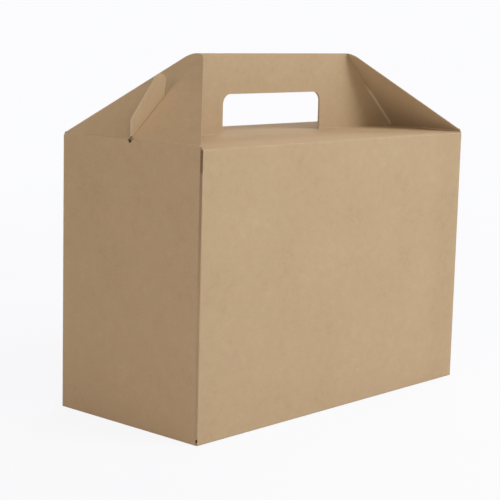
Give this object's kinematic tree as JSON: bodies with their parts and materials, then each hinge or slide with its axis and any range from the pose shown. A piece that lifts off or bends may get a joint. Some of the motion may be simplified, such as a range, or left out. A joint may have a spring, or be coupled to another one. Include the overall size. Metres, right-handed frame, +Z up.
{
  "type": "cardboard carry box",
  "caption": "Folded kraft board carry box with nearly level shoulders, an upright double handle panel with a hand hole, and a hooked leaning flap at each end.",
  "frame": {"origin": "centre of the carton's footprint, on the surface that it stands on", "axes": "+X along the front to the right end, +Y from the front to the back, +Z up"},
  "size_m": [0.26, 0.122, 0.2275],
  "materials": {
    "kraft_board": "matt brown kraft liner"
  },
  "bodies": {
    "carton": {"carton": "kraft_board"},
    "end_flap_left": {"end_flap_left": "kraft_board"},
    "end_flap_right": {"end_flap_right": "kraft_board"}
  },
  "joints": [
    {"name": "left_flap_crease", "type": "hinge", "parent": "carton", "child": "end_flap_left", "pos_m": [-0.13, 0, 0.17645], "axis": [0, -1, 0], "range_deg": [0, 130]},
    {"name": "right_flap_crease", "type": "hinge", "parent": "carton", "child": "end_flap_right", "pos_m": [0.13, 0, 0.17645], "axis": [0, 1, 0], "range_deg": [0, 130]}
  ]
}
